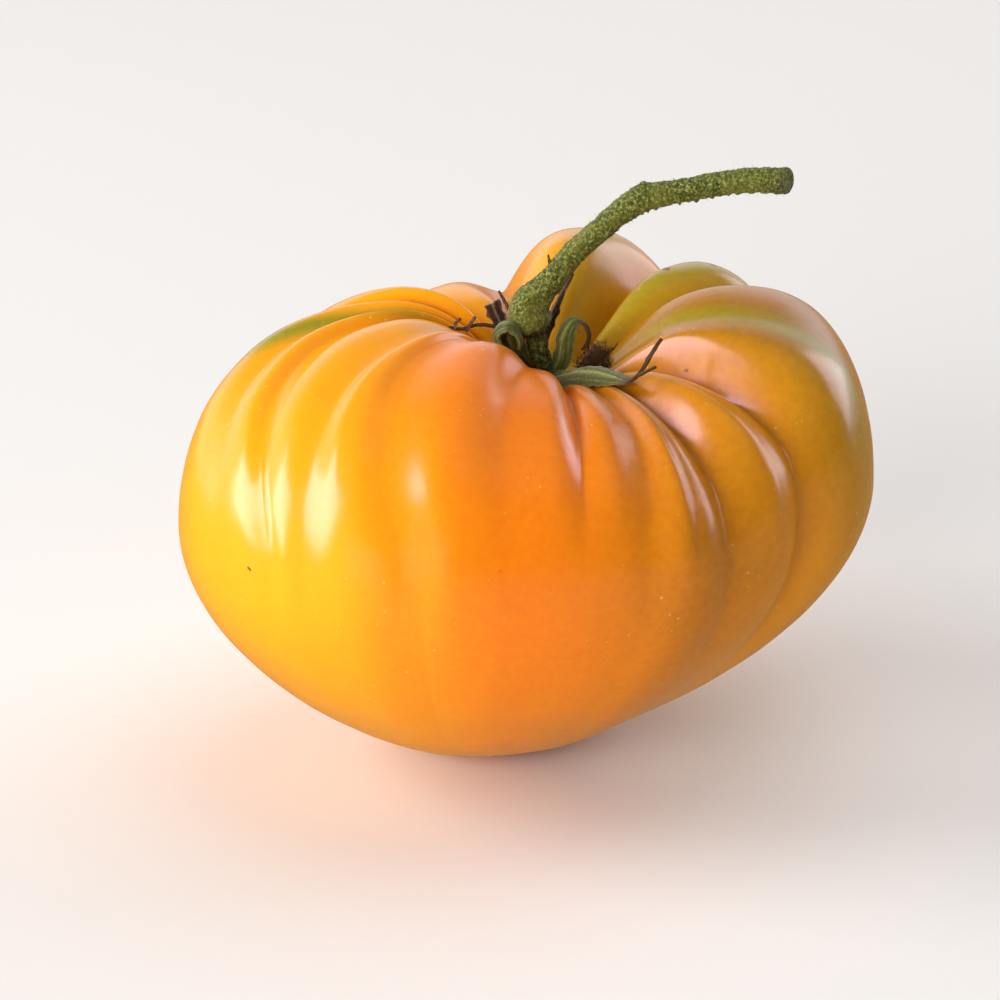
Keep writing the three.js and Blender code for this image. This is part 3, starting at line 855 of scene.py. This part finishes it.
def leaf_skin(name, body, roughness, shaded, layers):
    """Sepal leaf, thin and faintly hairy: matt, with paler veins and edges.

    layers holds (mark, colour) for the marks left on the mesh, laid over the body in turn,
    and shaded is the colour of the grain between the first mark and the rest.
    """
    material, output = new_material(name)
    tree = material.node_tree
    place = add_node(tree, "TexCoord").outputs["Object"]
    marked = [
        (add_node(tree, "Attribute", attribute_name=mark).outputs["Fac"], colour)
        for mark, colour in layers
    ]
    grain = add_node(
        tree, "TexNoise", {"Vector": place, "Scale": 1500.0, "Detail": 4.0, "Roughness": 0.6},
    ).outputs["Fac"]
    shade = add_node(
        tree, "MapRange",
        {"Value": grain, "From Min": 0.32, "From Max": 0.68, "To Min": 0.45, "To Max": 0.0},
    ).outputs[0]
    tone = lay_colours(tree, body, [marked[0], (shade, linear(shaded)), *marked[1:]])
    surface = add_node(
        tree, "Bump", {"Height": grain, "Strength": 0.6, "Distance": 0.00015},
    ).outputs["Normal"]
    shader = add_node(tree, "BsdfPrincipled", {
        "Base Color": tone,
        "Roughness": roughness,
        "IOR": 1.42,
        "Normal": surface,
        "Sheen Weight": 0.2,
        "Sheen Roughness": 0.5,
    })
    tree.links.new(shader.outputs[0], output.inputs["Surface"])
    return material


def plain_material(name, colour, roughness):
    """One colour, for what is too small or too plain to show a pattern."""
    material, output = new_material(name)
    tree = material.node_tree
    shader = add_node(
        tree, "BsdfPrincipled", {"Base Color": colour, "Roughness": roughness, "IOR": 1.45},
    )
    tree.links.new(shader.outputs[0], output.inputs["Surface"])
    return material


def curve_rows(line, count):
    """Rows at even steps on a smooth curve through the rows of a list, every value carried along."""
    line = np.asarray(line, float)
    place = np.linspace(0, len(line) - 1, count)
    i = np.minimum(place.astype(int), len(line) - 2)
    u = (place - i)[:, None]
    p0, p1, p2, p3 = (line[np.clip(i + k, 0, len(line) - 1)] for k in (-1, 0, 1, 2))
    return 0.5 * (
        2 * p1 + (p2 - p0) * u + (2 * p0 - 5 * p1 + 4 * p2 - p3) * u ** 2
        + (3 * p1 - p0 - 3 * p2 + p3) * u ** 3
    )


def even_rows(line, count):
    """Rows at even lengths along a smooth curve through the rows of a list."""
    fine = curve_rows(line, 8 * count)
    length = np.append(0, np.cumsum(np.linalg.norm(np.diff(fine[:, :3], axis=0), axis=1)))
    at = np.linspace(0, length[-1], count)
    return np.stack([np.interp(at, length, column) for column in fine.T], axis=1), length[-1]


def tube(name, rows, sides):
    """Closed tube along rows of (x, y, z, radius) in millimetres, made as a bevelled curve."""
    deselect_all()
    bpy.ops.curve.primitive_nurbs_path_add()
    piece = named(name)
    curve = piece.data
    curve.splines.clear()
    spline = curve.splines.new("POLY")
    spline.points.add(len(rows) - 1)
    for point, row in zip(spline.points, rows):
        point.co = (*(row[:3] * MM), 1)
        point.radius = row[3]
    curve.dimensions = "3D"
    curve.bevel_depth = MM
    curve.bevel_resolution = (sides - 4) // 2
    curve.use_fill_caps = True
    bpy.ops.object.convert(target="MESH")
    return bpy.context.object


def nearest_row(points, rows):
    """Number of the nearest row and the direction from its middle, for each point in millimetres."""
    number = np.empty(len(points), int)
    for start in range(0, len(points), BATCH):
        part = points[start:start + BATCH]
        away = np.linalg.norm(part[:, None] - rows[None, :, :3], axis=-1)
        number[start:start + BATCH] = np.argmin(away, axis=1)
    return number, points - rows[number, :3]


class TOMATO_OT_fruit(bpy.types.Operator):
    """Models the whole fruit: hollow, lobes, creases and foot in one skin"""

    bl_idname = "tomato.fruit"
    bl_label = "Fruit"

    def execute(self, context):
        settings = context.scene.tomato_fruit
        deselect_all()
        bpy.ops.mesh.primitive_uv_sphere_add(
            segments=settings.columns, ring_count=settings.rows, radius=1,
        )
        piece = named("fruit_skin")
        shape_fruit(piece, settings.columns, settings.rows)
        roughen(piece, "soft_dents", settings.dent_size, settings.unevenness, "above_foot")
        piece.vertex_groups.clear()
        piece.data.materials.append(tomato_skin(settings))
        finish_piece(piece, "fruit")
        places = points_of(piece.data) / MM
        on_patch = np.flatnonzero(from_cork_patch(places) < CORK_PATCH_REACH)
        draw = np.random.default_rng(21)
        roots = places[draw.choice(on_patch, settings.fibres)]
        leaning = draw.normal(size=roots.shape) * 0.7 + (-0.2, -0.3, 1.0)
        leaning /= np.linalg.norm(leaning, axis=1)[:, None]
        lengths = draw.uniform(0.5, 2.2, len(roots))
        fibres = scatter_hairs("cork_fibres", roots, leaning, lengths, 0.07, 22)
        fibres.data.materials.append(plain_material("cork_fibre_dry", settings.cork, 0.8))
        finish_piece(fibres, "fruit")
        return {"FINISHED"}


def shape_stem(piece, rows, length):
    """Ribs on the neck, bumps under the bend, the nub on the kink and the slanted cut."""
    mesh = piece.data
    points = points_of(mesh) / MM
    number, out = nearest_row(points, rows)
    share = number / (len(rows) - 1)
    along = share * length
    radius = np.linalg.norm(out, axis=1) + 1e-9
    normal = out / radius[:, None]
    turn = np.arctan2(normal[:, 1], normal[:, 0])
    neck = 1 - ramp(points[:, 2], NECK_TOP - 1.4, NECK_TOP)
    ribs = 0.30 * neck * np.cos(7 * turn)
    bend = ramp(points[:, 0], 17.0, 20.0) * (1 - ramp(points[:, 0], 38.0, 41.0))
    under = ramp(-normal[:, 2], 0.55, 0.95) * bend
    uneven = 0.55 + 0.45 * np.sin(1.9 * along + 2.0)
    beads = np.sin(2 * np.pi * along / 1.9 + 1.6 * np.sin(0.8 * along))
    bumps = 0.5 * under * uneven * np.clip(beads, 0, 1)
    nub = np.linalg.norm(points - np.array(STEM_NUB), axis=1)
    raised = ribs + bumps + 1.0 * bell(nub, 0.75)
    points = points + normal * (raised * ramp(radius, 0.5, 1.5))[:, None]
    last = ramp(along, length - 4.0, length)
    for axis, slant in zip((1, 2), CUT_SLANT):
        points[:, 0] += last * slant * (points[:, axis] - rows[-1, axis])
    move_points(mesh, points * MM)


def mark_stem(piece, rows, length):
    """Where the stem is cut, and its dark collar under the knob."""
    mesh = piece.data
    points = points_of(mesh) / MM
    number, out = nearest_row(points, rows)
    along = number / (len(rows) - 1) * length
    radius = np.linalg.norm(out, axis=1)
    inside = 1 - ramp(radius, 1.75, 2.15)
    store(mesh, "cut", ramp(along, length - 0.7, length - 0.2) * inside)
    store(mesh, "collar", 0.85 * bell(points[:, 2] - NECK_TOP - 0.1, 0.9))


def scatter_hairs(name, roots, directions, lengths, radius, seed):
    """Short curved three-sided hairs as one mesh, each a few faces."""
    draw = np.random.default_rng(seed)
    count = len(roots)
    side = np.cross(directions, draw.normal(size=(count, 3)))
    side /= np.linalg.norm(side, axis=1)[:, None]
    other = np.cross(directions, side)
    bend = draw.normal(size=(count, 3)) * 0.35
    levels = []
    for share, width in ((0.0, 1.0), (0.55, 0.7)):
        middle = roots + (directions * share + bend * share ** 2) * lengths[:, None]
        for turn in (0, 2 * math.pi / 3, 4 * math.pi / 3):
            levels.append(middle + (side * math.cos(turn) + other * math.sin(turn)) * radius * width)
    levels.append(roots + (directions + bend) * lengths[:, None])
    vertices = np.stack(levels, axis=1).reshape(-1, 3)
    pattern = [(2, 1, 0), (0, 1, 4, 3), (1, 2, 5, 4), (2, 0, 3, 5), (3, 4, 6), (4, 5, 6), (5, 3, 6)]
    faces = [tuple(7 * n + k for k in face) for n in range(count) for face in pattern]
    mesh = bpy.data.meshes.new(name)
    mesh.from_pydata([tuple(v) for v in vertices * MM], [], faces)
    piece = bpy.data.objects.new(name, mesh)
    bpy.context.scene.collection.objects.link(piece)
    return piece


def surface_samples(piece, count, seed):
    """Random places on a piece's faces with their outward directions, in millimetres."""
    draw = np.random.default_rng(seed)
    areas = np.array([face.area for face in piece.data.polygons])
    chosen = draw.choice(len(areas), size=count, p=areas / areas.sum())
    middles = np.array([piece.data.polygons[int(k)].center for k in chosen]) / MM
    normals = np.array([piece.data.polygons[int(k)].normal for k in chosen])
    return middles, normals, draw


class TOMATO_OT_stem(bpy.types.Operator):
    """Models the stem with its neck, knob, kink and cut end, and its short hairs"""

    bl_idname = "tomato.stem"
    bl_label = "Stem"

    def execute(self, context):
        settings = context.scene.tomato_stem
        rows, length = even_rows(STEM_LINE, settings.steps)
        piece = tube("stem_rind", rows, settings.sides)
        shape_stem(piece, rows, length)
        roughen(piece, "stem_lumps", 1.5 * MM, settings.lump_height)
        roughen(piece, "stem_grain", 0.5 * MM, settings.grain_height)
        mark_stem(piece, rows, length)
        piece.data.materials.append(stem_skin(settings))
        finish_piece(piece, "stem", math.radians(50))
        middles, normals, draw = surface_samples(piece, settings.hairs, 11)
        leaning = normals + draw.normal(size=normals.shape) * 0.3
        leaning /= np.linalg.norm(leaning, axis=1)[:, None]
        lengths = settings.hair_length / MM * draw.uniform(0.4, 1.2, len(middles))
        hairs = scatter_hairs("stem_hairs", middles, leaning, lengths, 0.035, 12)
        hairs.data.materials.append(plain_material("stem_hair_translucent", linear("#8f9250"), 0.5))
        finish_piece(hairs, "stem")
        return {"FINISHED"}


def sepal(name, form, thickness, pointed):
    """One sepal: a grid laid along its middle line, cupped, veined, given its thickness."""
    along, across = 90, 22
    rows, length = even_rows(form["line"], along + 1)
    deselect_all()
    bpy.ops.mesh.primitive_grid_add(x_subdivisions=along, y_subdivisions=across, size=2)
    piece = named(name)
    grid = points_of(piece.data)
    u = (grid[:, 0] + 1) / 2
    v = grid[:, 1]
    k = np.rint(u * along).astype(int)
    ahead = rows[np.minimum(np.arange(along + 1) + 1, along), :3]
    behind = rows[np.maximum(np.arange(along + 1) - 1, 0), :3]
    tangent = ahead - behind
    tangent /= np.linalg.norm(tangent, axis=1)[:, None]
    wide = np.array(form["wide"], float)
    wide = wide - tangent * (tangent @ wide)[:, None]
    wide /= np.linalg.norm(wide, axis=1)[:, None]
    face = np.cross(tangent, wide)
    half = rows[k, 3] * (1 + form["waves"] * np.sin(2 * np.pi * u * length / 2.6 + 1.5 * np.sign(v)))
    if pointed:
        half = half * (1 - 0.7 * ramp(u, 0.93, 1.0))
    cup = rows[k, 4] * half * v ** 2
    ribbing = 0.10 * np.cos(np.pi * 5 * v) * (1 - v ** 2) - 0.18 * bell(v, 0.10)
    flutter = form["waves"] * half * np.abs(v) * np.sin(2 * np.pi * u * length / 3.4 + np.sign(v))
    lift = cup + ribbing * np.minimum(half, 1) + flutter
    points = rows[k, :3] + wide[k] * (v * half)[:, None] + face[k] * lift[:, None]
    move_points(piece.data, points * MM)
    veins = np.maximum(bell(v, 0.12), 0.55 * np.clip(np.cos(np.pi * 5 * v + 8 * u), 0, 1) ** 6)
    veins = np.maximum(veins, 0.8 * ramp(np.abs(v), 0.86, 1.0))
    store(piece.data, "vein", veins)
    store(piece.data, "tip", ramp(u, form["dry_from"] - 0.1, form["dry_from"] + 0.1))
    shell = piece.modifiers.new("thickness", "SOLIDIFY")
    shell.thickness = thickness * form["thick"]
    shell.offset = 0
    shell.use_even_offset = True
    edge = piece.modifiers.new("soft_edge", "BEVEL")
    edge.width = thickness * form["thick"] * 0.3
    edge.segments = 2
    edge.limit_method = "ANGLE"
    edge.angle_limit = math.radians(60)
    apply_modifiers(piece)
    return piece


def join(name, parts):
    """Joins parts into one piece."""
    deselect_all()
    for part in parts:
        part.select_set(True)
    bpy.context.view_layer.objects.active = parts[0]
    bpy.ops.object.join()
    return named(name)


def calyx_ring():
    """Low ring that the sepals grow from, spun from its profile."""
    rows = np.array([(*RING_CENTRE, height, radius) for radius, height in RING_PROFILE])
    rows, _ = even_rows(rows, 40)
    return tube("ring", rows, 64)


class TOMATO_OT_green_calyx(bpy.types.Operator):
    """Models the ring and the fresh sepals"""

    bl_idname = "tomato.green_calyx"
    bl_label = "Green calyx"

    def execute(self, context):
        settings = context.scene.tomato_calyx
        thickness = settings.thickness
        parts = [sepal(name, form, thickness, True) for name, form in GREEN_SEPALS.items()]
        piece = join("calyx_green", [*parts, calyx_ring()])
        roughen(piece, "sepal_puckers", 1.1 * MM, 0.25 * MM)
        piece.data.materials.append(leaf_skin(
            "sepal_leaf_green", settings.green, 0.7, "#20240c",
            [("vein", settings.vein), ("tip", linear("#4a3518"))],
        ))
        finish_piece(piece, "calyx", math.radians(60))
        return {"FINISHED"}


class TOMATO_OT_dried_calyx(bpy.types.Operator):
    """Models the withered sepals"""

    bl_idname = "tomato.dried_calyx"
    bl_label = "Withered calyx"

    def execute(self, context):
        settings = context.scene.tomato_calyx
        thickness = settings.thickness
        parts = [sepal(name, form, thickness, name != "stub") for name, form in DRIED_SEPALS.items()]
        piece = join("calyx_withered", parts)
        roughen(piece, "withered_wrinkles", 0.8 * MM, 0.4 * MM)
        piece.data.materials.append(leaf_skin(
            "sepal_leaf_withered", settings.brown, 0.8, "#1c1009", [("vein", settings.bleached)],
        ))
        finish_piece(piece, "calyx", math.radians(60))
        return {"FINISHED"}


class TOMATO_OT_stage(bpy.types.Operator):
    """Sets up the pale floor, the soft window light, the white surround and the camera"""

    bl_idname = "tomato.stage"
    bl_label = "Stage"

    def execute(self, context):
        settings = context.scene.tomato_stage
        scene = context.scene
        deselect_all()
        bpy.ops.mesh.primitive_plane_add(size=8)
        floor = named("floor")
        floor.data.materials.append(plain_material("pale_matt_floor", settings.floor, 0.7))
        floor.visible_glossy = False
        for name, place, width, height, power, in_gloss in LIGHTS:
            light = bpy.data.lights.new(name, "AREA")
            light.shape = "RECTANGLE"
            light.size = width
            light.size_y = height
            light.energy = power * settings.light_strength
            light.color = linear(LIGHT_COLOUR)[:3]
            lamp = bpy.data.objects.new(name, light)
            lamp.location = place
            aim = Vector(LIGHTS_AIM) - lamp.location
            lamp.rotation_euler = aim.to_track_quat("-Z", "Y").to_euler()
            lamp.visible_glossy = in_gloss
            scene.collection.objects.link(lamp)
        world = bpy.data.worlds.new("white_room")
        world.use_nodes = True
        tree = world.node_tree
        tree.nodes.clear()
        direction = add_node(tree, "TexCoord").outputs["Generated"]
        split = add_node(tree, "SeparateXYZ", {"Vector": direction})
        # The wall behind the fruit is bright, the room on the viewer's side is dimmer
        strength = add_node(tree, "MapRange", {
            "Value": split.outputs["Y"], "From Min": -0.05, "From Max": 0.60,
            "To Min": settings.room_strength, "To Max": settings.wall_strength,
        }, interpolation_type="SMOOTHSTEP")
        # and both end above, where the ceiling begins
        strength = add_node(tree, "MapRange", {
            "Value": split.outputs["Z"], "From Min": 0.25, "From Max": 0.75,
            "To Min": strength.outputs[0], "To Max": settings.ceiling_strength,
        }, interpolation_type="SMOOTHSTEP")
        # The gloss sees a warm table top below
        table = add_node(tree, "MapRange", {
            "Value": split.outputs["Z"], "From Min": 0.02, "From Max": -0.12,
        }, interpolation_type="SMOOTHSTEP").outputs[0]
        strength = add_node(tree, "MapRange", {
            "Value": table, "To Min": strength.outputs[0], "To Max": settings.table_strength,
        })
        room = add_node(tree, "Background", {
            "Color": lay_colours(tree, settings.surround, [(table, settings.table)]),
            "Strength": strength.outputs[0],
        })
        add_node(tree, "OutputWorld", {"Surface": room.outputs[0]})
        scene.world = world
        scene.view_settings.view_transform = "Standard"
        target = Vector(LOOK_AT) * MM
        camera_data = bpy.data.cameras.new("camera")
        camera_data.lens = settings.lens
        camera_data.sensor_width = 36.0
        camera_data.clip_end = 20.0
        camera = bpy.data.objects.new("camera", camera_data)
        back = Vector((0, -math.cos(settings.elevation), math.sin(settings.elevation)))
        camera.location = target + back * settings.distance
        camera.rotation_euler = (math.radians(90) - settings.elevation, 0, 0)
        scene.collection.objects.link(camera)
        scene.camera = camera
        return {"FINISHED"}


OPERATORS = (
    TOMATO_OT_fruit, TOMATO_OT_stem, TOMATO_OT_green_calyx, TOMATO_OT_dried_calyx, TOMATO_OT_stage,
)
SETTINGS = {
    "tomato_fruit": FruitSettings,
    "tomato_stem": StemSettings,
    "tomato_calyx": CalyxSettings,
    "tomato_stage": StageSettings,
}


class TOMATO_PT_panel(bpy.types.Panel):
    """Lists the settings and the steps that build the tomato"""

    bl_idname = "TOMATO_PT_panel"
    bl_label = "Tomato"
    bl_space_type = "VIEW_3D"
    bl_region_type = "UI"
    bl_category = "Tomato"

    def draw(self, context):
        for name, group in SETTINGS.items():
            box = self.layout.box()
            box.label(text=group.__name__)
            for field in group.__annotations__:
                box.prop(getattr(context.scene, name), field)
        for operator in OPERATORS:
            self.layout.operator(operator.bl_idname)


def register():
    """Registers the settings, the operators and the panel."""
    for name, group in SETTINGS.items():
        bpy.utils.register_class(group)
        setattr(bpy.types.Scene, name, PointerProperty(type=group))
    for operator in OPERATORS:
        bpy.utils.register_class(operator)
    bpy.utils.register_class(TOMATO_PT_panel)


def unregister():
    """Removes what register added."""
    bpy.utils.unregister_class(TOMATO_PT_panel)
    for operator in reversed(OPERATORS):
        bpy.utils.unregister_class(operator)
    for name, group in SETTINGS.items():
        delattr(bpy.types.Scene, name)
        bpy.utils.unregister_class(group)


def main():
    """Builds every piece in order."""
    register()
    bpy.ops.tomato.fruit()
    bpy.ops.tomato.stem()
    bpy.ops.tomato.green_calyx()
    bpy.ops.tomato.dried_calyx()
    bpy.ops.tomato.stage()


if __name__ == "__main__":
    main()
